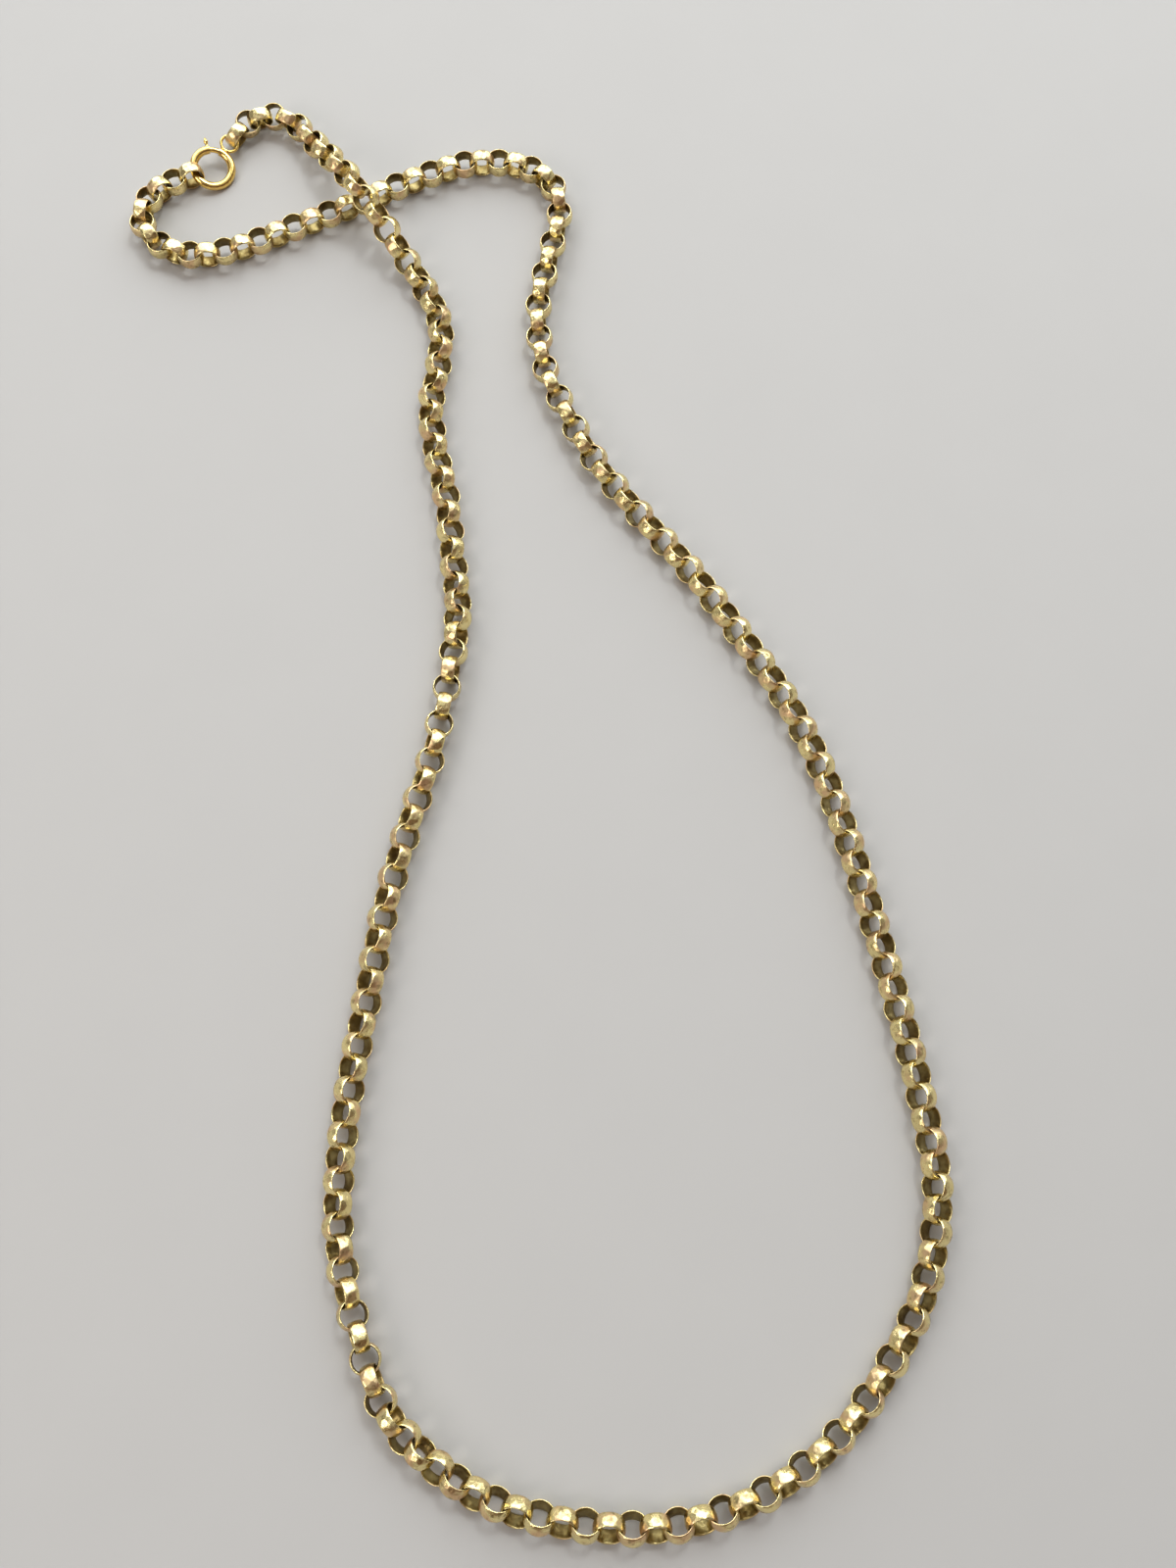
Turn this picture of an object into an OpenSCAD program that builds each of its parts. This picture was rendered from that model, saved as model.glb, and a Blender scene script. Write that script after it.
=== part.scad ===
// Rolo chain necklace, laid down as one closed loop.
// Round band links alternate by a quarter turn. A hollow bolt ring closes the loop: its tail loop holds
// the first link and its round body holds the end link. A curved bolt with a thumb pin shuts its gap.
// Millimetres, +Z up. The origin is on the surface that the chain lies on, at the middle of its outline.

/* [Links] */
// Outside diameter of a link
link_od = 4.7; // [4.4:0.05:5.2]
// Width of the band that a link is made of
band_width = 2.05; // [1.8:0.05:2.15]
// Thickness of the band at its middle
crown_wall = 0.5; // [0.4:0.02:0.6]
// Thickness of the band at its two rims
rim_wall = 0.2; // [0.16:0.02:0.26]
// How far the outside of the band swells past its rims
crown_swell = 0.11; // [0.06:0.01:0.14]
// Width of the level strip along the band's middle, which slopes to the rims on each side
crown_width = 0.8; // [0.5:0.05:1.1]

/* [Chain] */
// How much shorter the step between straight links is than links pulled tight
link_play = 0.22; // [0.18:0.01:0.3]
// Route length given up for each radian that the chain bends or twists
turn_slack = 1.6; // [1.4:0.1:2.2]
// Room between the two strands where one crosses over the other
cross_gap = 0.9; // [0.8:0.1:1.5]
// Distance over which the upper strand climbs to the crossing
cross_reach = 20; // [18:1:24]

/* [Bolt ring] */
// Outside diameter of the bolt ring
ring_od = 8; // [7.6:0.1:9]
// Diameter of the tube that the bolt ring is bent from
tube_od = 1.4; // [1.2:0.05:1.5]
// Wall of the tube
tube_wall = 0.2; // [0.15:0.01:0.24]
// Gap in the ring, as an angle about its middle
gap_angle = 30; // [26:1:34]
// Angle that the closed bolt reaches into the tube beyond the gap
bolt_overlap = 4; // [2:0.5:5]
// Angle that the bolt turns through when it is pulled open
bolt_travel = 36; // [34:1:44]
// Room all round the bolt inside the tube
bolt_play = 0.05; // [0.03:0.01:0.08]
// Sideways tilt of the ring as it lies, with the thumb pin's side raised
ring_tilt = 20; // [18:1:22]
// Rise of the ring towards its tail loop
tail_lift = 5; // [4:0.5:6]
// Room round the tube inside the end link
hook_gap = 0.35; // [0.25:0.05:0.5]

/* [Thumb pin] */
// Diameter of the pin where it stands in its slot
pin_d = 0.5; // [0.4:0.02:0.56]
// Room on each side of the pin in its slot
slot_play = 0.06; // [0.04:0.01:0.1]
// Diameter of the swelling that the nail catches
pin_head_d = 0.8; // [0.6:0.02:0.9]
// How far the pin stands out of the ring
pin_reach = 1.5; // [1.1:0.05:1.8]

/* [Tail loop] */
// Diameter of the tail loop's wire
tail_wire_d = 0.5; // [0.44:0.02:0.6]
// Room round the first link's band inside the tail loop
tail_gap = 0.18; // [0.16:0.01:0.3]
// Depth that the tail loop sinks into the tube's wall where it is soldered
tail_sink = 0.15; // [0.1:0.01:0.18]

/* [Hidden] */

// Points that the chain's middle passes: x, y and, in the last column, the roll of the links there
route_roll = 2;
route = [
    [-48.5, 114.5, -20], [-45, 115.5, -21], [-41.5, 114.5, -22], [-38.5, 111.5, -25],
    [-34, 105, -32], [-28.5, 97, -38], [-22.5, 89, -40], [-17, 81, -42], [-13.5, 73, -44],
    [-13.5, 64.5, -46], [-14.5, 57, -48], [-13.5, 48.5, -50], [-11.5, 40, -55], [-10, 28, -52],
    [-9, 19, -36], [-10, 9, -4], [-12.5, -5, 23], [-16, -17.5, 33], [-19, -30, 37],
    [-21, -43, 42], [-23, -56, 47], [-24, -68.5, 48], [-23.5, -79, 38], [-20.5, -90, 16],
    [-16, -100.5, -12], [-9, -107.5, -32], [0, -112.5, -43], [11.5, -115, -47], [24, -115, -51],
    [36.5, -111, -56], [46.5, -104, -58], [54, -95, -52], [60, -84, -44], [62.5, -71, -38],
    [61, -58, -37], [58.5, -45, -37], [55.5, -32, -36], [52.5, -20, -37], [48.5, -7, -37],
    [43.5, 4, -38], [37, 14.5, -38], [29.5, 25.5, -40], [21, 36, -46], [13.5, 46, -60],
    [8, 56.5, -72], [4.5, 65, -80], [3.5, 76, -84], [5.5, 87, -86], [7, 94.5, -88],
    [5.5, 101, -90], [0, 105, -90], [-9, 105.5, -90], [-19, 102, -90], [-29, 97, -90],
    [-40, 92, -90], [-49, 88, -90], [-57, 86.5, -90], [-63.5, 89, -90], [-66.5, 94, -90],
    [-64.5, 99.5, -90]
];
// Where the first half of the route crosses over the second half
cross_point = [-28.5, 97];
// Roll of the links at the tail loop and at the end link
start_roll = -20;
end_roll = -90;

// Middle of the bolt ring, and the directions in which its tail loop and the end link lie from it
clasp_at = [-55, 105];
tail_heading = 60;
hook_heading = 208;
// Swing of the first link in the tail loop
first_swing = -8;
// How far past each end a point lies that sets the chain's heading there
end_lead = 5;

// Fine steps of the route between two points
steps = 12;
// Facets of round shapes
$fn = 48;
// How far a cut runs past what it cuts, as a length and as an angle
cut_past = 0.5;
cut_past_angle = 1;

gold = [0.86, 0.78, 0.56];
bright_gold = [0.93, 0.79, 0.42];

// Band of a link
link_r = link_od / 2;
half_band = band_width / 2;
half_crown = crown_width / 2;
edge_r = link_r - crown_swell;
rim_in_r = edge_r - rim_wall;
hole_r = link_r - crown_wall;
// Step between links on a straight stretch, where pulled tight their rims touch corner to corner
link_step = 2 * sqrt(rim_in_r * rim_in_r - half_band * half_band) - link_play;

// Bolt ring
tube_r = tube_od / 2;
bore_r = tube_r - tube_wall;
bend_r = ring_od / 2 - tube_r;
bolt_r = bore_r - bolt_play;
// The lowest point of the tilted ring rests on the surface
ring_z = tube_r + bend_r * norm([sin(tail_lift), cos(tail_lift) * sin(ring_tilt)]);

// Tail loop, wide enough for the first link's band
tail_wire_r = tail_wire_d / 2;
tail_hole_r = norm([half_band, rim_wall / 2]) + tail_gap;
tail_mid_r = tail_hole_r + tail_wire_r;
tail_at = ring_od / 2 + tail_hole_r + tail_wire_d - tail_sink;

// Angles about the ring from its tail loop: the gap, then the thumb pin in the mouth of its slot
solder_angle = 11;
stem_r = pin_d / 2;
slot_half_w = stem_r + slot_play;
pin_half_angle = asin(slot_half_w / bend_r);
gap_start = solder_angle;
gap_end = gap_start + gap_angle;
pin_angle = gap_end + pin_half_angle;
bolt_tail_angle = 8;
bolt_tip = gap_start - bolt_overlap;
bolt_back = pin_angle + bolt_tail_angle;

// Thumb pin: where its head starts and is widest, as shares of its reach
head_share = 0.2;
widest_share = 0.55;
head_r = pin_head_d / 2;
tip_r = stem_r / 2;

// The first link hangs in the tail loop by its rims, and the end link goes round the tube
first_heading = tail_heading + first_swing;
first_reach = rim_in_r + rim_wall / 2;
end_reach = bend_r + hole_r - tube_r - hook_gap;
chain_start = clasp_at + tail_at * cos(tail_lift) * [cos(tail_heading), sin(tail_heading)]
    + first_reach * [cos(first_heading), sin(first_heading)];
chain_end = clasp_at + end_reach * [cos(hook_heading), sin(hook_heading)];

// Height of a link's middle over the surface at a roll, whether it stands on its rim or on its crown
function lean(roll) = max(
    edge_r * abs(sin(roll)) + half_band * abs(cos(roll)),
    link_r * abs(sin(roll)) + half_crown * abs(cos(roll)));
function rest_height(roll) = max(lean(roll), lean(roll + 90));

// Smooth curve through the points, with one more point past each end to set its heading
start_point = [chain_start.x, chain_start.y, start_roll];
end_point = [chain_end.x, chain_end.y, end_roll];
before_start = start_point - [cos(first_heading), sin(first_heading), 0] * end_lead;
after_end = end_point - [cos(hook_heading), sin(hook_heading), 0] * end_lead;
knots = concat([before_start, start_point], route, [end_point, after_end]);
spans = len(knots) - 3;
function blend(a, b, c, d, t) = 0.5 * (2 * b + (c - a) * t + (2 * a - 5 * b + 4 * c - d) * t * t
    + (3 * b - a - 3 * c + d) * t * t * t);
function curve(k) =
    let (i = min(floor(k / steps), spans - 1), t = k / steps - i)
    blend(knots[i], knots[i + 1], knots[i + 2], knots[i + 3], t);
fine = [for (k = [0 : spans * steps]) curve(k)];

// Long low hump of the upper strand, where it passes over the lower one
cross_lift = link_od + cross_gap;
function hump(k) =
    let (d = norm([fine[k].x, fine[k].y] - cross_point))
    k < spans * steps / 2 ? cross_lift * (1 + cos(180 * min(1, d / cross_reach))) / 2 : 0;
track = [for (k = [0 : spans * steps]) [fine[k].x, fine[k].y, hump(k)]];

// Route length used up between fine points, counting what bends and twists take
function turn_at(k) =
    k == 0 ? 0 :
    let (a = track[k] - track[k - 1], b = track[k + 1] - track[k])
    acos(min(1, a * b / (norm(a) * norm(b))));
function used(k) = norm(track[k + 1] - track[k])
    + turn_slack * (turn_at(k) + abs(fine[k + 1][route_roll] - fine[k][route_roll])) * PI / 180;
used_up = [for (k = 0, sum = 0; k <= spans * steps;
    sum = sum + (k < spans * steps ? used(k) : 0), k = k + 1) sum];
whole = used_up[spans * steps];
x_table = [for (k = [0 : spans * steps]) [used_up[k], track[k].x]];
y_table = [for (k = [0 : spans * steps]) [used_up[k], track[k].y]];
z_table = [for (k = [0 : spans * steps]) [used_up[k], track[k].z]];
roll_table = [for (k = [0 : spans * steps]) [used_up[k], fine[k][route_roll]]];

// An even number of links, so that the end link stands across the first one
link_count = 2 * ceil((whole / link_step + 1) / 2);
share = whole / (link_count - 1);
rolls = [for (i = [0 : link_count - 1]) lookup(i * share, roll_table)];
places = [for (i = [0 : link_count - 1])
    [lookup(i * share, x_table), lookup(i * share, y_table),
     lookup(i * share, z_table) + rest_height(rolls[i])]];
function heading_of(i) = places[min(i + 1, link_count - 1)] - places[max(i - 1, 0)];

// The outline's middle goes to the origin
reach_x = [for (p = places) p.x];
reach_y = [for (p = places) p.y];
middle = [(min(reach_x) + max(reach_x)) / 2, (min(reach_y) + max(reach_y)) / 2];

// One link, its axis along Z: a band that swells outwards and inwards from its rims
module link() {
    rotate_extrude()
        polygon([
            [edge_r, -half_band], [link_r, -half_crown], [link_r, half_crown], [edge_r, half_band],
            [rim_in_r, half_band], [hole_r, half_crown], [hole_r, -half_crown], [rim_in_r, -half_band]
        ]);
}

// A link at its place in the chain, turned a quarter against its neighbours
module placed_link(i) {
    along = heading_of(i);
    roll = rolls[i] + (i % 2 == 0 ? 90 : 0);
    translate([places[i].x - middle.x, places[i].y - middle.y, places[i].z])
        rotate([0, 0, atan2(along.y, along.x)])
            rotate([0, -asin(along.z / norm(along)), 0])
                rotate([-roll, 0, 0])
                    link();
}

module chain() {
    color(gold)
        for (i = [0 : link_count - 2])
            placed_link(i);
}

module end_link() {
    color(gold)
        placed_link(link_count - 1);
}

// The bolt ring's own frame: its middle at the origin, its tail along X, its axis along Z
module at_clasp() {
    translate([clasp_at.x - middle.x, clasp_at.y - middle.y, ring_z])
        rotate([0, 0, tail_heading])
            rotate([0, -tail_lift, 0])
                rotate([ring_tilt, 0, 0])
                    children();
}

// A stretch of bent rod or bore between two angles about the ring
module bent_rod(r, from, to) {
    rotate([0, 0, from])
        rotate_extrude(angle = to - from)
            translate([bend_r, 0])
                circle(r);
}

// Slot in the outside of the tube, open at the gap, which the thumb pin slides along
module pin_slot() {
    rotate([0, 0, gap_end - cut_past_angle])
        rotate_extrude(angle = cut_past_angle + 2 * pin_half_angle + bolt_travel)
            translate([bend_r, -slot_half_w])
                square([tube_r + cut_past, 2 * slot_half_w]);
}

module tail_loop() {
    translate([tail_at, 0, 0])
        rotate_extrude()
            translate([tail_mid_r, 0])
                circle(tail_wire_r);
}

module bolt_ring() {
    color(bright_gold)
        at_clasp()
            union() {
                difference() {
                    bent_rod(tube_r, gap_end, gap_start + 360);
                    bent_rod(bore_r, gap_end - cut_past_angle, gap_start + 360 + cut_past_angle);
                    pin_slot();
                }
                tail_loop();
            }
}

// Thumb pin along X from the bolt's middle: a stem, then a leaf-shaped head with a blunt tip
module thumb_pin() {
    head_from = tube_r + pin_reach * head_share;
    widest_at = tube_r + pin_reach * widest_share;
    tip_at = tube_r + pin_reach;
    rotate([0, 90, 0]) {
        cylinder(h = widest_at, r = stem_r);
        translate([0, 0, head_from])
            cylinder(h = widest_at - head_from, r1 = stem_r, r2 = head_r);
        translate([0, 0, widest_at])
            cylinder(h = tip_at - widest_at, r1 = head_r, r2 = tip_r);
    }
}

module bolt() {
    color(bright_gold)
        at_clasp()
            union() {
                bent_rod(bolt_r, bolt_tip, bolt_back);
                rotate([0, 0, pin_angle])
                    translate([bend_r, 0, 0])
                        thumb_pin();
            }
}

chain();
end_link();
bolt_ring();
bolt();
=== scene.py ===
"""Rolo chain necklace with its bolt ring, dressed for the studio.

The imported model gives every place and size: each link is laid where the frame's link is.
"""
import math

import bmesh
import bpy
import numpy as np
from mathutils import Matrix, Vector


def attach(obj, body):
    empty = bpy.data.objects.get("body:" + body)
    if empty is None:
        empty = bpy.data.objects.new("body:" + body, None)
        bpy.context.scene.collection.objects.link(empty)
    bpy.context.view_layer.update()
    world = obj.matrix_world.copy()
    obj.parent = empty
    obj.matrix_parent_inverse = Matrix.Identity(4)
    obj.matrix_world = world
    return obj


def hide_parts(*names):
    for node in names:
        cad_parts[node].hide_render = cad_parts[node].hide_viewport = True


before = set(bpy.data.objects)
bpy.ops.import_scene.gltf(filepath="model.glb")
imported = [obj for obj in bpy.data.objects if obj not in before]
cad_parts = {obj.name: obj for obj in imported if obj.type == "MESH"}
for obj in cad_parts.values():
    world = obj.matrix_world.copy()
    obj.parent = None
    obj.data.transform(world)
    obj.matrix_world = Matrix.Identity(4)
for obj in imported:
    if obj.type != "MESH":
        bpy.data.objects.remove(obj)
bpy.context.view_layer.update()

bl_info = {
    "name": "Rolo Chain Necklace",
    "version": (1, 0, 0),
    "blender": (4, 5, 0),
    "location": "View3D > Sidebar > Rolo Chain",
    "description": "Band links, bolt ring, gold finishes and studio for a rolo chain necklace",
    "category": "Add Mesh",
}

MM = 0.001
ROOT_BODY = "necklace"
BOLT_BODY = "bolt"

# Names of the values that the links carry from their making to their finish
AXIS = "link_axis"
ALONG = "link_along"
SIDE = "band_side"
TONE = "link_tone"
# Vertices closer than this are one in a frame node's mesh
MERGE_DISTANCE = 1e-7
# The middle of what a Noise node gives
NOISE_MIDDLE = 0.5

# How closely the patterns in the gold lie, in features per metre
CLOUD_SCALE = 420.0
SPOT_SCALE = 1150.0
DIMPLE_SCALE = 1100.0
GRAIN_SCALE = 3800.0
SCRATCH_SCALE = 1300.0
# Turn of the scratches, and how much finer they are across than along
SCRATCH_TURN = (0.4, 0.9, 0.3)
SCRATCH_FINENESS = (1.0, 14.0, 1.0)
SCRATCH_SHARE = 0.3
DIMPLE_RELIEF = 0.12 * MM
GRAIN_RELIEF = 0.03 * MM
# Where the darkening of the hollows begins and is full, round the band: 1 is its outside, 0 its
# rim, -1 its inside. The darkening is tarnish and painted shade together.
TARNISH_AND_SHADE_BEGINS, TARNISH_AND_SHADE_FULL = -0.05, -0.55
# The hollows' tarnish and painted shade never fall below this much of themselves, and the hollows'
# gloss is dulled by this much
LEAST_TARNISH_AND_SHADE, HOLLOW_DULLNESS = 0.45, 0.12
# Noise values between which a stain, the painted rosy reflection and the wear of the gloss come up
STAIN_EDGES = (0.56, 0.68)
ROSY_REFLECTION_EDGES = (0.47, 0.64)
WEAR_EDGES = (0.3, 0.7)
# The dullest link's brightness, and how much brighter the brightest one is
LEAST_TONE, TONE_SPREAD = 0.94, 0.12
# Edges of the clasp that turn by more than this stay sharp, such as the rims of its mouth
CLASP_SHARP_ANGLE = math.radians(35)

FLOOR_SIZE = 3.0
FLOOR_ROUGHNESS = 0.75
FLOOR_RELIEF = 0.2 * MM
FLOOR_RELIEF_STRENGTH = 0.05
MOTTLE_SCALE = 60.0
MOTTLE_LIGHTENING = 1.03
# Each light's place and size in metres, all aimed at the middle of the floor
WINDOW_PLACES = {"window_left": (-0.36, 0.8, 0.66), "window_right": (0.54, 0.8, 0.66)}
WINDOW_SIZE = (0.88, 1.15)
LAMP_PLACE, LAMP_SIZE = (0.25, 0.5, 0.9), (0.16, 0.24)
FILL_PLACE, FILL_SIZE = (-0.5, -0.3, 0.45), (0.3, 0.3)
FILL_COLOUR = (1.0, 0.95, 0.9)
LIGHTS_TARGET = (0.0, 0.0, 0.0)
# Where one part of the room's light fades into the next, by the direction's Y or Z
NEAR_TO_WINDOW_SIDE = (-0.5, 0.4)
BACKDROP_TO_WALLS = (0.2, 0.4)
WALLS_TO_CEILING = (0.72, 0.95)
# Cosines of the angles at the dark card's soft edge, and the share of light that it lets through
CARD_EDGE = (0.972, 0.992)
CARD_LIGHT = 0.12
# In millimetres, as lenses are named
SENSOR_LONG_SIDE = 36.0
CAMERA_CLIP_START = 5 * MM


# Measuring the frame


def merged_copy(node):
    """A bmesh of a frame node's mesh with its loose triangles joined."""
    shell = bmesh.new()
    shell.from_mesh(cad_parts[node].data)
    bmesh.ops.remove_doubles(shell, verts=shell.verts, dist=MERGE_DISTANCE)
    return shell


def islands(shell):
    """The faces of each separate closed piece of a bmesh."""
    seen = set()
    found = []
    for start in shell.faces:
        if start.index in seen:
            continue
        seen.add(start.index)
        group, front = [], [start]
        while front:
            face = front.pop()
            group.append(face)
            for edge in face.edges:
                for other in edge.link_faces:
                    if other.index not in seen:
                        seen.add(other.index)
                        front.append(other)
        found.append(group)
    return found


def ring_place(faces):
    """Centre and axis of one ring, from the areas of its faces."""
    areas = np.array([f.calc_area() for f in faces])
    middles = np.array([f.calc_center_median() for f in faces])
    centre = (areas[:, None] * middles).sum(0) / areas.sum()
    spread = (middles - centre) * np.sqrt(areas)[:, None]
    _, directions = np.linalg.eigh(spread.T @ spread)
    return centre, directions[:, 0]


def ring_places(node):
    """Centres and axes of all the rings in a frame node."""
    shell = merged_copy(node)
    shell.faces.ensure_lookup_table()
    shell.faces.index_update()
    places = [ring_place(group) for group in islands(shell)]
    shell.free()
    return places


def in_chain_order(places, start):
    """The rings one after another along the chain, from the one nearest to start."""
    left = list(places)
    at = start
    ordered = []
    while left:
        nearest = min(range(len(left)), key=lambda i: np.sum((left[i][0] - at) ** 2))
        ordered.append(left.pop(nearest))
        at = ordered[-1][0]
    return ordered


def link_rows(ordered):
    """Rows of centre, axis and direction of travel, for rings in the chain's order."""
    rows = []
    for i, (centre, axis) in enumerate(ordered):
        before = ordered[max(i - 1, 0)][0]
        after = ordered[min(i + 1, len(ordered) - 1)][0]
        rows.append((centre, axis, after - before))
    return rows


# Small helpers for node trees


def add_node(tree, kind, settings=None, inputs=None):
    """A new node with its settings, and its inputs linked or given a value."""
    node = tree.nodes.new(kind)
    for name, value in (settings or {}).items():
        setattr(node, name, value)
    for key, value in (inputs or {}).items():
        if isinstance(value, bpy.types.NodeSocket):
            tree.links.new(value, node.inputs[key])
        else:
            node.inputs[key].default_value = value
    return node


def add_math(tree, operation, first, second=None):
    """The result of a Math node whose inputs are sockets or numbers."""
    values = {0: first} if second is None else {0: first, 1: second}
    return add_node(tree, "ShaderNodeMath", {"operation": operation}, values).outputs[0]


def lay_out(tree, column=190, row=170, rows=6):
    """Spreads the nodes of a tree in columns, in the order that they were made."""
    for i, node in enumerate(tree.nodes):
        node.location = (column * (i // rows), -row * (i % rows))


# The link tree: a band with a swelled outside, swept round a circle and laid on each place


def tree_input(tree, name, kind, value=None):
    """Adds a named input to a node tree, with its default."""
    socket = tree.interface.new_socket(name=name, in_out="INPUT", socket_type=kind)
    if value is not None:
        socket.default_value = value


def band_profile(tree, given):
    """The band's section as a closed curve: through its wall in X, across the band in Y."""
    ring = add_node(
        tree, "GeometryNodeCurvePrimitiveCircle", {"mode": "RADIUS"},
        {"Resolution": given["Band Steps"], "Radius": 1.0},
    )
    place = add_node(tree, "GeometryNodeInputPosition")
    parts = add_node(tree, "ShaderNodeSeparateXYZ", inputs={0: place.outputs[0]})
    # Places on the unit circle, both from -1 to 1
    across, through = parts.outputs[0], parts.outputs[1]
    softness = given["Edge Softness"]
    wide = add_math(tree, "POWER", add_math(tree, "ABSOLUTE", across), softness)
    deep = add_math(tree, "POWER", add_math(tree, "ABSOLUTE", through), softness)
    half_width = add_math(tree, "MULTIPLY", given["Band Width"], 0.5)
    sideways = add_math(tree, "MULTIPLY", wide, add_math(tree, "SIGN", across))
    x = add_math(tree, "MULTIPLY", sideways, half_width)
    # The arch falls from 1 at the band's middle to 0 at its rims
    arch = add_math(tree, "SUBTRACT", 1.0, add_math(tree, "MULTIPLY", wide, wide))
    outside = add_math(tree, "GREATER_THAN", through, 0.0)
    inner_swell = add_math(
        tree, "SUBTRACT",
        add_math(tree, "SUBTRACT", given["Crown Wall"], given["Rim Wall"]), given["Crown Swell"],
    )
    swell = add_math(
        tree, "ADD", add_math(tree, "MULTIPLY", outside, given["Crown Swell"]),
        add_math(tree, "MULTIPLY", add_math(tree, "SUBTRACT", 1.0, outside), inner_swell),
    )
    half_rim = add_math(tree, "MULTIPLY", given["Rim Wall"], 0.5)
    height = add_math(tree, "ADD", add_math(tree, "MULTIPLY", deep, half_rim),
                      add_math(tree, "MULTIPLY", arch, swell))
    y = add_math(tree, "MULTIPLY", height, add_math(tree, "SIGN", through))
    section = add_node(tree, "ShaderNodeCombineXYZ", inputs={0: y, 1: x})
    kept = add_node(
        tree, "GeometryNodeStoreNamedAttribute", {"data_type": "FLOAT", "domain": "POINT"},
        {"Geometry": ring.outputs[0], "Name": SIDE, "Value": through},
    )
    shaped = add_node(
        tree, "GeometryNodeSetPosition",
        inputs={"Geometry": kept.outputs[0], "Position": section.outputs[0]},
    )
    return shaped.outputs[0]


def link_shape(tree, given):
    """One link round the Z axis."""
    half_rim = add_math(tree, "MULTIPLY", given["Rim Wall"], 0.5)
    outside = add_math(tree, "MULTIPLY", given["Link Diameter"], 0.5)
    under_swell = add_math(tree, "SUBTRACT", outside, given["Crown Swell"])
    middle = add_math(tree, "SUBTRACT", under_swell, half_rim)
    path = add_node(
        tree, "GeometryNodeCurvePrimitiveCircle", {"mode": "RADIUS"},
        {"Resolution": given["Round Steps"], "Radius": middle},
    )
    swept = add_node(
        tree, "GeometryNodeCurveToMesh",
        inputs={"Curve": path.outputs[0], "Profile Curve": band_profile(tree, given)},
    )
    outward = add_node(tree, "GeometryNodeFlipFaces", inputs={0: swept.outputs[0]})
    smooth = add_node(tree, "GeometryNodeSetShadeSmooth", inputs={"Geometry": outward.outputs[0]})
    return smooth.outputs[0]


def laid_links(tree, given, link):
    """The link on each place, turned to its axis, each one a little out of true."""
    kind = {"data_type": "FLOAT_VECTOR"}
    axis = add_node(tree, "GeometryNodeInputNamedAttribute", kind, {"Name": AXIS})
    along = add_node(tree, "GeometryNodeInputNamedAttribute", kind, {"Name": ALONG})
    turned = add_node(
        tree, "FunctionNodeAxesToRotation", {"primary_axis": "Z", "secondary_axis": "X"},
        {0: axis.outputs[0], 1: along.outputs[0]},
    )
    low = add_math(tree, "SUBTRACT", 1.0, given["Unevenness"])
    least = add_node(tree, "ShaderNodeCombineXYZ", inputs={0: low, 1: low, 2: low})
    stretch = add_node(
        tree, "FunctionNodeRandomValue", kind,
        {0: least.outputs[0], 1: (1.0, 1.0, 1.0), "Seed": given["Seed"]},
    )
    laid = add_node(
        tree, "GeometryNodeInstanceOnPoints",
        inputs={"Points": given["Geometry"], "Instance": link, "Rotation": turned.outputs[0],
                "Scale": stretch.outputs[0]},
    )
    tone = add_node(
        tree, "FunctionNodeRandomValue", {"data_type": "FLOAT"}, {"Seed": given["Seed"]}
    )
    toned = add_node(
        tree, "GeometryNodeStoreNamedAttribute", {"data_type": "FLOAT", "domain": "INSTANCE"},
        {"Geometry": laid.outputs[0], "Name": TONE, "Value": tone.outputs[1]},
    )
    return add_node(tree, "GeometryNodeRealizeInstances", inputs={0: toned.outputs[0]}).outputs[0]


def dented(tree, given, shape):
    """Small knocks and the highs between them, about the true surface."""
    knocks = add_node(
        tree, "ShaderNodeTexNoise", {"noise_dimensions": "4D"},
        {"Scale": given["Dents Per Metre"], "Detail": 1.5, "W": given["Seed"]},
    )
    rise = add_math(tree, "SUBTRACT", NOISE_MIDDLE, knocks.outputs[0])
    height = add_math(tree, "MULTIPLY", rise, given["Dent Depth"])
    normal = add_node(tree, "GeometryNodeInputNormal")
    offset = add_node(
        tree, "ShaderNodeVectorMath", {"operation": "SCALE"},
        {0: normal.outputs[0], "Scale": height},
    )
    return add_node(
        tree, "GeometryNodeSetPosition", inputs={"Geometry": shape, "Offset": offset.outputs[0]}
    ).outputs[0]


def rubbed_flat(tree, shape, lowest):
    """Flattens what would reach below the lowest height, where a link rests on its rim."""
    place = add_node(tree, "GeometryNodeInputPosition")
    parts = add_node(tree, "ShaderNodeSeparateXYZ", inputs={0: place.outputs[0]})
    height = add_math(tree, "MAXIMUM", parts.outputs[2], lowest)
    kept = add_node(
        tree, "ShaderNodeCombineXYZ",
        inputs={0: parts.outputs[0], 1: parts.outputs[1], 2: height},
    )
    return add_node(
        tree, "GeometryNodeSetPosition", inputs={"Geometry": shape, "Position": kept.outputs[0]}
    ).outputs[0]


def cage_growth(steps, softness=1.0):
    """How much larger a coarse ring is made, for its rounded shape to have the stated size."""
    # Rounding brings a corner of the cage in to (2 + cos of its step) / 3 of its distance
    return 3 / (2 + math.cos(2 * math.pi / steps) ** softness)


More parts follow.
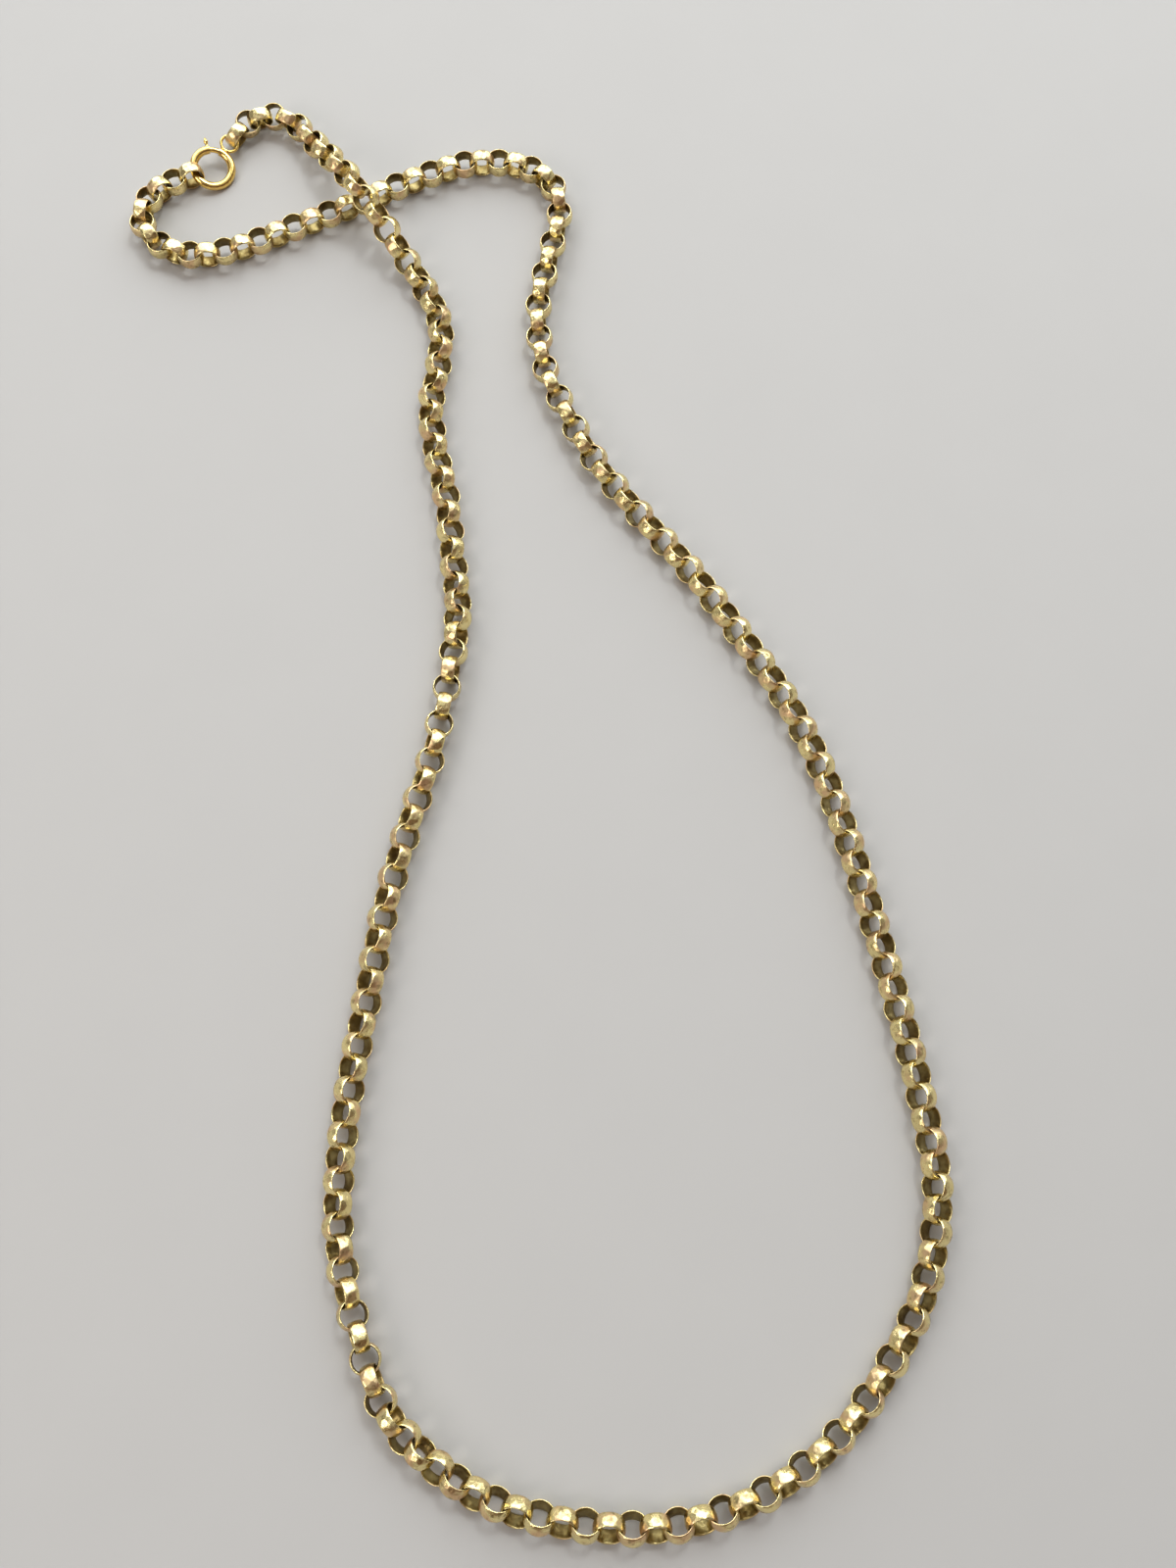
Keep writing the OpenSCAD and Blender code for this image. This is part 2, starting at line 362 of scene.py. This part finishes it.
def make_link_tree(sizes, material):
    """The Geometry Nodes tree that turns a link's place into a dented link."""
    tree = bpy.data.node_groups.new("Rolo links", "GeometryNodeTree")
    tree_input(tree, "Geometry", "NodeSocketGeometry")
    round_growth = cage_growth(sizes.round_steps)
    band_growth = cage_growth(sizes.band_steps, sizes.edge_softness)
    wall_growth = round_growth * band_growth
    lengths = {
        "Link Diameter": sizes.link_diameter * round_growth,
        "Band Width": sizes.band_width * band_growth,
        "Crown Wall": sizes.crown_wall * wall_growth,
        "Rim Wall": sizes.rim_wall * wall_growth,
        "Crown Swell": sizes.crown_swell * wall_growth,
        "Edge Softness": sizes.edge_softness,
        "Unevenness": sizes.unevenness,
        "Dent Depth": sizes.dent_depth,
        "Dents Per Metre": sizes.dents_per_metre,
        "Floor Height": 0.0,
    }
    counts = {"Round Steps": sizes.round_steps, "Band Steps": sizes.band_steps, "Seed": 1}
    for name, value in lengths.items():
        tree_input(tree, name, "NodeSocketFloat", value)
    for name, value in counts.items():
        tree_input(tree, name, "NodeSocketInt", value)
    tree.interface.new_socket(name="Geometry", in_out="OUTPUT", socket_type="NodeSocketGeometry")
    given = add_node(tree, "NodeGroupInput").outputs
    links = dented(tree, given, laid_links(tree, given, link_shape(tree, given)))
    resting = rubbed_flat(tree, links, given["Floor Height"])
    finished = add_node(
        tree, "GeometryNodeSetMaterial", inputs={"Geometry": resting, "Material": material}
    )
    add_node(tree, "NodeGroupOutput", inputs={0: finished.outputs[0]})
    lay_out(tree)
    return tree


def places_object(name, rows):
    """A mesh of bare points, one for each link, with its axis and direction."""
    mesh = bpy.data.meshes.new(name)
    mesh.from_pydata([tuple(centre) for centre, _, _ in rows], [], [])
    for attribute, column in ((AXIS, 1), (ALONG, 2)):
        values = np.array([row[column] for row in rows], np.float32).ravel()
        mesh.attributes.new(attribute, "FLOAT_VECTOR", "POINT").data.foreach_set("vector", values)
    piece = bpy.data.objects.new(name, mesh)
    bpy.context.scene.collection.objects.link(piece)
    return piece


def set_input(modifier, name, value):
    """Sets a tree's named input on a modifier, by its socket's identifier."""
    for item in modifier.node_group.interface.items_tree:
        if item.item_type == "SOCKET" and item.in_out == "INPUT" and item.name == name:
            modifier[item.identifier] = value
            return
    raise KeyError(name)


def links_piece(name, rows, tree, seed):
    """A plain mesh of links, made by the link tree from its places."""
    piece = places_object(name, rows)
    modifier = piece.modifiers.new("Links", "NODES")
    modifier.node_group = tree
    set_input(modifier, "Seed", seed)
    evaluated = piece.evaluated_get(bpy.context.evaluated_depsgraph_get())
    made = bpy.data.meshes.new_from_object(evaluated)
    made.name = name
    piece.modifiers.remove(modifier)
    old = piece.data
    piece.data = made
    bpy.data.meshes.remove(old)
    rounding = piece.modifiers.new("Rounding", "SUBSURF")
    rounding.levels = rounding.render_levels = 1
    return piece


# Gold


def gold_material(name, colours, settings):
    """Polished gold alloy, rubbed bright on its high faces, with patches of painted rosy
    reflection, and duller and darker in its hollows, where tarnish and painted shade are laid
    together.
    """
    material = bpy.data.materials.new(name)
    material.use_nodes = True
    tree = material.node_tree
    tree.nodes.clear()
    where = add_node(tree, "ShaderNodeTexCoord").outputs["Object"]
    side = add_node(tree, "ShaderNodeAttribute", {"attribute_name": SIDE}).outputs["Fac"]
    tone = add_node(tree, "ShaderNodeAttribute", {"attribute_name": TONE}).outputs["Fac"]
    cloud = add_node(
        tree, "ShaderNodeTexNoise", inputs={"Vector": where, "Scale": CLOUD_SCALE, "Detail": 4.0}
    )
    spots = add_node(
        tree, "ShaderNodeTexNoise",
        inputs={"Vector": where, "Scale": SPOT_SCALE, "Detail": 2.0, "Roughness": 0.6},
    )
    grain = add_node(
        tree, "ShaderNodeTexNoise",
        inputs={"Vector": where, "Scale": GRAIN_SCALE, "Detail": 3.0, "Roughness": 0.7},
    )
    dimples = add_node(
        tree, "ShaderNodeTexVoronoi", {"feature": "SMOOTH_F1"},
        {"Vector": where, "Scale": DIMPLE_SCALE, "Smoothness": 0.2},
    )
    scratch_place = add_node(
        tree, "ShaderNodeMapping",
        inputs={"Vector": where, "Rotation": SCRATCH_TURN, "Scale": SCRATCH_FINENESS},
    )
    scratches = add_node(
        tree, "ShaderNodeTexNoise",
        inputs={"Vector": scratch_place.outputs[0], "Scale": SCRATCH_SCALE, "Detail": 2.0},
    )

    # Colour: gold, with painted rosy reflection where the cloud is dense, olive brown in the
    # hollows as tarnish and painted shade together, and olive brown in small stains
    hollow = add_node(
        tree, "ShaderNodeMapRange",
        inputs={"Value": side, "From Min": TARNISH_AND_SHADE_BEGINS, "From Max": TARNISH_AND_SHADE_FULL},
    ).outputs[0]
    depth = add_math(tree, "ADD", cloud.outputs[0], LEAST_TARNISH_AND_SHADE)
    patchy = add_math(tree, "MULTIPLY", hollow, depth)
    tarnish_and_shade_share = add_math(tree, "MULTIPLY", patchy, settings["tarnish_and_shade"])
    stain = add_node(
        tree, "ShaderNodeMapRange",
        inputs={"Value": spots.outputs[0], "From Min": STAIN_EDGES[0],
                "From Max": STAIN_EDGES[1], "To Max": settings["stains"]},
    ).outputs[0]
    # Rosy patches where the cloud is dense: a painted reflection
    rosy_reflection_share = add_node(
        tree, "ShaderNodeMapRange",
        inputs={"Value": cloud.outputs[0], "From Min": ROSY_REFLECTION_EDGES[0],
                "From Max": ROSY_REFLECTION_EDGES[1]},
    ).outputs[0]
    face = add_node(
        tree, "ShaderNodeMix", {"data_type": "RGBA"},
        {0: add_math(tree, "MULTIPLY", rosy_reflection_share, settings["rosy_reflection_share"]),
         6: colours["gold"], 7: colours["rosy_reflection"]},
    )
    shaded = add_node(
        tree, "ShaderNodeMix", {"data_type": "RGBA"},
        {0: add_math(tree, "MAXIMUM", tarnish_and_shade_share, stain), 6: face.outputs[2], 7: colours["tarnish_and_shade"]},
    )
    brightness = add_math(
        tree, "ADD", LEAST_TONE, add_math(tree, "MULTIPLY", tone, TONE_SPREAD)
    )
    toned = add_node(
        tree, "ShaderNodeHueSaturation", inputs={"Color": shaded.outputs[2], "Value": brightness}
    )

    # Gloss: polished to worn by the cloud, and duller in the hollows
    rough = add_node(
        tree, "ShaderNodeMapRange",
        inputs={"Value": cloud.outputs[0], "From Min": WEAR_EDGES[0], "From Max": WEAR_EDGES[1],
                "To Min": settings["polish"], "To Max": settings["worn"]},
    )
    duller = add_math(tree, "MULTIPLY", hollow, HOLLOW_DULLNESS)
    rougher = add_math(tree, "ADD", rough.outputs[0], duller)

    # Relief: dimples of wear, then grain and fine scratches
    fine = add_math(tree, "MULTIPLY", scratches.outputs[0], SCRATCH_SHARE)
    relief = add_math(tree, "ADD", grain.outputs[0], fine)
    worn = add_node(
        tree, "ShaderNodeBump",
        inputs={"Height": dimples.outputs[0], "Strength": settings["dimples"],
                "Distance": DIMPLE_RELIEF},
    )
    bump = add_node(
        tree, "ShaderNodeBump",
        inputs={"Height": relief, "Strength": settings["grain"], "Distance": GRAIN_RELIEF,
                "Normal": worn.outputs[0]},
    )
    shader = add_node(
        tree, "ShaderNodeBsdfPrincipled",
        inputs={"Base Color": toned.outputs[0], "Metallic": 1.0, "Roughness": rougher,
                "Normal": bump.outputs[0]},
    )
    add_node(tree, "ShaderNodeOutputMaterial", inputs={"Surface": shader.outputs[0]})
    lay_out(tree)
    return material


def finish_colours(finish, gold):
    """The colours of one gold finish."""
    return {"gold": (*gold, 1.0), "rosy_reflection": (*finish.rosy_reflection_colour, 1.0),
            "tarnish_and_shade": (*finish.tarnish_and_shade_colour, 1.0)}


def chain_gold(finish):
    """Pale gold, knocked about and rubbed, with patches of painted rosy reflection, tarnished and
    darkened with painted shade inside the links.
    """
    return gold_material("Pale worn gold", finish_colours(finish, finish.chain_colour), {
        "tarnish_and_shade": 0.9, "stains": 0.45, "rosy_reflection_share": 0.65, "polish": 0.17, "worn": 0.38,
        "grain": 0.9, "dimples": 1.0,
    })


def clasp_gold(finish):
    """Warmer gold with a near new polish."""
    return gold_material("Warm bright gold", finish_colours(finish, finish.clasp_colour), {
        "tarnish_and_shade": 0.0, "stains": 0.05, "rosy_reflection_share": 0.2, "polish": 0.1, "worn": 0.22,
        "grain": 0.2, "dimples": 0.05,
    })


# The clasp


def smooth_copy(node, name, sharp_angle):
    """A frame node's mesh with its triangles joined and its round faces shaded smooth."""
    shell = merged_copy(node)
    mesh = bpy.data.meshes.new(name)
    shell.to_mesh(mesh)
    shell.free()
    mesh.shade_smooth()
    mesh.set_sharp_from_angle(angle=sharp_angle)
    piece = bpy.data.objects.new(name, mesh)
    bpy.context.scene.collection.objects.link(piece)
    return piece


def dress(piece, body, material=None):
    """Puts a piece on its body and in its slot, with its material if it has none yet."""
    if material is not None:
        piece.data.materials.clear()
        piece.data.materials.append(material)
    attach(piece, body)


# Studio


def floor_material(colour):
    """Plain pale matt floor with a faint mottle."""
    material = bpy.data.materials.new("Pale floor")
    material.use_nodes = True
    tree = material.node_tree
    tree.nodes.clear()
    where = add_node(tree, "ShaderNodeTexCoord").outputs["Object"]
    mottle = add_node(
        tree, "ShaderNodeTexNoise", inputs={"Vector": where, "Scale": MOTTLE_SCALE, "Detail": 5.0}
    )
    lighter = tuple(c * MOTTLE_LIGHTENING for c in colour)
    colours = add_node(
        tree, "ShaderNodeMix", {"data_type": "RGBA"},
        {0: mottle.outputs[0], 6: (*colour, 1.0), 7: (*lighter, 1.0)},
    )
    bump = add_node(
        tree, "ShaderNodeBump",
        inputs={"Height": mottle.outputs[0], "Strength": FLOOR_RELIEF_STRENGTH,
                "Distance": FLOOR_RELIEF},
    )
    shader = add_node(
        tree, "ShaderNodeBsdfPrincipled",
        inputs={"Base Color": colours.outputs[2], "Roughness": FLOOR_ROUGHNESS,
                "Normal": bump.outputs[0]},
    )
    add_node(tree, "ShaderNodeOutputMaterial", inputs={"Surface": shader.outputs[0]})
    return material


def make_floor(size, colour):
    """The square floor that the necklace lies on."""
    half = size / 2
    corners = [(-half, -half, 0), (half, -half, 0), (half, half, 0), (-half, half, 0)]
    mesh = bpy.data.meshes.new("floor")
    mesh.from_pydata(corners, [], [(0, 1, 2, 3)])
    mesh.materials.append(floor_material(colour))
    floor = bpy.data.objects.new("floor", mesh)
    bpy.context.scene.collection.objects.link(floor)


def add_softbox(name, place, size, power, colour):
    """A rectangular light aimed at the middle of the floor."""
    data = bpy.data.lights.new(name, "AREA")
    data.shape = "RECTANGLE"
    data.size, data.size_y = size
    data.energy = power
    data.color = colour
    light = bpy.data.objects.new(name, data)
    light.location = place
    aim = Vector(LIGHTS_TARGET) - Vector(place)
    light.rotation_euler = aim.to_track_quat("-Z", "Y").to_euler()
    bpy.context.scene.collection.objects.link(light)


def add_fade(tree, value, edges, ends=(0.0, 1.0)):
    """A soft change from one end to the other, between two edges of a value."""
    return add_node(
        tree, "ShaderNodeMapRange", {"interpolation_type": "SMOOTHSTEP"},
        {"Value": value, "From Min": edges[0], "From Max": edges[1],
         "To Min": ends[0], "To Max": ends[1]},
    ).outputs[0]


def add_mix(tree, share, first, second):
    """Two colours mixed by a share."""
    return add_node(
        tree, "ShaderNodeMix", {"data_type": "RGBA"}, {0: share, 6: first, 7: second}
    ).outputs[2]


def make_world(studio):
    """The room's light: pale backdrop all round, bright overhead, dim near side, a dark card."""
    world = bpy.data.worlds.new("Studio")
    bpy.context.scene.world = world
    world.use_nodes = True
    tree = world.node_tree
    tree.nodes.clear()
    where = add_node(tree, "ShaderNodeTexCoord").outputs["Generated"]
    parts = add_node(tree, "ShaderNodeSeparateXYZ", inputs={0: where})
    away, up = parts.outputs[1], parts.outputs[2]
    near, far, backdrop, ceiling = (
        (*colour, 1.0) for colour in (studio.near_colour, studio.window_side_colour,
                                      studio.backdrop_colour, studio.ceiling_colour)
    )
    walls = add_mix(tree, add_fade(tree, away, NEAR_TO_WINDOW_SIDE), near, far)
    sides = add_mix(tree, add_fade(tree, up, BACKDROP_TO_WALLS), backdrop, walls)
    room = add_mix(tree, add_fade(tree, up, WALLS_TO_CEILING), sides, ceiling)
    card = add_node(
        tree, "ShaderNodeVectorMath", {"operation": "DOT_PRODUCT"},
        {0: where, 1: Vector(studio.card_place).normalized()},
    )
    shade = add_fade(tree, card.outputs["Value"], CARD_EDGE, (1.0, CARD_LIGHT))
    strength = add_math(tree, "MULTIPLY", shade, studio.room_strength)
    light = add_node(tree, "ShaderNodeBackground", inputs={"Color": room, "Strength": strength})
    add_node(tree, "ShaderNodeOutputWorld", inputs={"Surface": light.outputs[0]})


# Settings


class RoloLinkSettings(bpy.types.PropertyGroup):
    """Sizes of one link and how even the links are."""

    link_diameter: bpy.props.FloatProperty(
        name="Link Diameter", description="Outside diameter of a link",
        default=4.7 * MM, unit="LENGTH")
    band_width: bpy.props.FloatProperty(
        name="Band Width", description="Width of the band that a link is made of",
        default=2.2 * MM, unit="LENGTH")
    crown_wall: bpy.props.FloatProperty(
        name="Crown Wall", description="Thickness of the band at its middle",
        default=0.5 * MM, unit="LENGTH")
    rim_wall: bpy.props.FloatProperty(
        name="Rim Wall", description="Thickness of the band near its rims",
        default=0.27 * MM, unit="LENGTH")
    crown_swell: bpy.props.FloatProperty(
        name="Crown Swell", description="How far the outside of the band swells past its rims",
        default=0.16 * MM, unit="LENGTH")
    edge_softness: bpy.props.FloatProperty(
        name="Edge Softness",
        description="Roundness of the rims: 1 is an oval band, less is squarer",
        default=0.5, min=0.2, max=1.0)
    unevenness: bpy.props.FloatProperty(
        name="Unevenness", description="Most that a link is squeezed out of round",
        default=0.012, subtype="FACTOR")
    dent_depth: bpy.props.FloatProperty(
        name="Dent Depth",
        description="Height from the deepest possible knock to the highest possible spot",
        default=0.2 * MM, unit="LENGTH")
    dents_per_metre: bpy.props.FloatProperty(
        name="Dents Per Metre", description="How closely the knocks lie", default=480.0)
    round_steps: bpy.props.IntProperty(
        name="Round Steps", description="Faces round a link, before rounding", default=12, min=8)
    band_steps: bpy.props.IntProperty(
        name="Band Steps", description="Faces round the band's section, before rounding",
        default=8, min=6)
    stretches: bpy.props.IntProperty(
        name="Stretches", description="Pieces that the chain is made in", default=4, min=1)


class RoloFinishSettings(bpy.types.PropertyGroup):
    """Colours of the gold and the floor."""

    chain_colour: bpy.props.FloatVectorProperty(
        name="Chain Gold", description="Gold of the links", subtype="COLOR",
        default=(0.9, 0.765, 0.4))
    clasp_colour: bpy.props.FloatVectorProperty(
        name="Clasp Gold", description="Gold of the bolt ring", subtype="COLOR",
        default=(0.93, 0.68, 0.24))
    # The rosy patches that a noise lays in the gold are a painted reflection.
    rosy_reflection_colour: bpy.props.FloatVectorProperty(
        name="Rosy Reflection", description="Pinkish bloom of the copper in worn gold", subtype="COLOR",
        default=(0.72, 0.45, 0.29))
    # The insides' olive brown is tarnish and painted shade together; the small stains take the same
    # colour.
    tarnish_and_shade_colour: bpy.props.FloatVectorProperty(
        name="Tarnish And Shade", description="Olive brown of the unworn insides", subtype="COLOR",
        default=(0.17, 0.12, 0.04))
    floor_colour: bpy.props.FloatVectorProperty(
        name="Floor", description="Colour of the plain floor", subtype="COLOR",
        default=(0.47, 0.455, 0.44))


class RoloStudioSettings(bpy.types.PropertyGroup):
    """Camera and lights."""

    camera_place: bpy.props.FloatVectorProperty(
        name="Camera Place", description="Where the camera stands", subtype="XYZ", unit="LENGTH",
        default=(0.014, -0.075, 0.2225))
    look_down: bpy.props.FloatProperty(
        name="Look Down", description="Angle of the camera below the horizon", subtype="ANGLE",
        default=math.radians(73.53))
    lens: bpy.props.FloatProperty(
        name="Lens", description="Focal length on a 36 mm long side", default=33.75, unit="CAMERA")
    window_power: bpy.props.FloatProperty(
        name="Window Power", description="Power of each pane of the window light",
        default=7.0, unit="POWER")
    window_colour: bpy.props.FloatVectorProperty(
        name="Window Light", description="Colour of the window light and the lamp", subtype="COLOR",
        default=(0.93, 0.98, 1.0))
    lamp_power: bpy.props.FloatProperty(
        name="Lamp Power", description="Power of the small lamp that makes the glints",
        default=2.0, unit="POWER")
    fill_power: bpy.props.FloatProperty(
        name="Fill Power", description="Power of the fill light", default=1.2, unit="POWER")
    room_strength: bpy.props.FloatProperty(
        name="Room Strength", description="Strength of the room's own light", default=0.68)
    ceiling_colour: bpy.props.FloatVectorProperty(
        name="Ceiling", description="Light from overhead", subtype="COLOR",
        default=(0.98, 0.99, 1.0))
    backdrop_colour: bpy.props.FloatVectorProperty(
        name="Backdrop", description="Plain backdrop near the horizon", subtype="COLOR",
        default=(0.62, 0.61, 0.6))
    window_side_colour: bpy.props.FloatVectorProperty(
        name="Window Side", description="Light from the wall beyond the necklace", subtype="COLOR",
        default=(0.3, 0.3, 0.3))
    card_place: bpy.props.FloatVectorProperty(
        name="Card Place",
        description="Where the dark card hangs, which darkens the middles of the links",
        subtype="XYZ", unit="LENGTH", default=(0.06, -0.32, 0.95))
    near_colour: bpy.props.FloatVectorProperty(
        name="Near Side", description="Light from the wall behind the camera", subtype="COLOR",
        default=(0.2, 0.12, 0.085))


# Operators


class RoloChainOperator(bpy.types.Operator):
    """Lay the chain's links, stretch by stretch"""

    bl_idname = "rolo.chain"
    bl_label = "Chain Links"

    def execute(self, context):
        settings = context.scene.rolo_links
        tree = make_link_tree(settings, chain_gold(context.scene.rolo_finish))
        (last,) = ring_places("end_link")
        ordered = in_chain_order(ring_places("chain"), last[0])
        rows = link_rows([last, *ordered])
        end = links_piece("end_link_gold", rows[:1], tree, seed=settings.stretches)
        dress(end, ROOT_BODY)
        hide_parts("end_link")
        shares = np.array_split(np.arange(1, len(rows)), settings.stretches)
        for seed, share in enumerate(shares):
            stretch = [rows[i] for i in share]
            piece = links_piece(f"chain_links_{seed + 1}", stretch, tree, seed)
            dress(piece, ROOT_BODY)
            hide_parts("chain")
        return {"FINISHED"}


class RoloClaspOperator(bpy.types.Operator):
    """Finish the bolt ring and the bolt in its gap"""

    bl_idname = "rolo.clasp"
    bl_label = "Bolt Ring and Bolt"

    def execute(self, context):
        gold = clasp_gold(context.scene.rolo_finish)
        for node, body in (("bolt_ring", ROOT_BODY), ("bolt", BOLT_BODY)):
            piece = smooth_copy(node, f"{node}_gold", CLASP_SHARP_ANGLE)
            dress(piece, body, gold)
            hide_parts(node)
        return {"FINISHED"}


class RoloStageOperator(bpy.types.Operator):
    """Set the floor, the soft light and the camera"""

    bl_idname = "rolo.stage"
    bl_label = "Studio"

    def execute(self, context):
        studio = context.scene.rolo_studio
        make_floor(FLOOR_SIZE, context.scene.rolo_finish.floor_colour)
        make_world(studio)
        for name, place in WINDOW_PLACES.items():
            add_softbox(name, place, WINDOW_SIZE, studio.window_power, studio.window_colour)
        add_softbox("lamp", LAMP_PLACE, LAMP_SIZE, studio.lamp_power, studio.window_colour)
        add_softbox("fill", FILL_PLACE, FILL_SIZE, studio.fill_power, FILL_COLOUR)
        data = bpy.data.cameras.new("camera")
        data.lens = studio.lens
        data.sensor_width = SENSOR_LONG_SIDE
        data.clip_start = CAMERA_CLIP_START
        camera = bpy.data.objects.new("camera", data)
        camera.location = studio.camera_place
        camera.rotation_euler = (math.pi / 2 - studio.look_down, 0.0, 0.0)
        context.scene.collection.objects.link(camera)
        context.scene.camera = camera
        context.scene.view_settings.view_transform = "Standard"
        context.scene.view_settings.look = "Medium High Contrast"
        return {"FINISHED"}


class RoloPanel(bpy.types.Panel):
    """Settings and steps of the necklace"""

    bl_idname = "VIEW3D_PT_rolo"
    bl_label = "Rolo Chain Necklace"
    bl_space_type = "VIEW_3D"
    bl_region_type = "UI"
    bl_category = "Rolo Chain"

    def draw(self, context):
        for group, steps in (
            (context.scene.rolo_links, (RoloChainOperator,)),
            (context.scene.rolo_finish, (RoloClaspOperator,)),
            (context.scene.rolo_studio, (RoloStageOperator,)),
        ):
            box = self.layout.box()
            for name in group.bl_rna.properties.keys():
                if name not in ("name", "rna_type"):
                    box.prop(group, name)
            for step in steps:
                box.operator(step.bl_idname)


CLASSES = (
    RoloLinkSettings, RoloFinishSettings, RoloStudioSettings,
    RoloChainOperator, RoloClaspOperator, RoloStageOperator, RoloPanel,
)


def register():
    for cls in CLASSES:
        bpy.utils.register_class(cls)
    bpy.types.Scene.rolo_links = bpy.props.PointerProperty(type=RoloLinkSettings)
    bpy.types.Scene.rolo_finish = bpy.props.PointerProperty(type=RoloFinishSettings)
    bpy.types.Scene.rolo_studio = bpy.props.PointerProperty(type=RoloStudioSettings)


def unregister():
    del bpy.types.Scene.rolo_links
    del bpy.types.Scene.rolo_finish
    del bpy.types.Scene.rolo_studio
    for cls in reversed(CLASSES):
        bpy.utils.unregister_class(cls)


def main():
    register()
    bpy.ops.rolo.chain()
    bpy.ops.rolo.clasp()
    bpy.ops.rolo.stage()


if __name__ == "__main__":
    main()
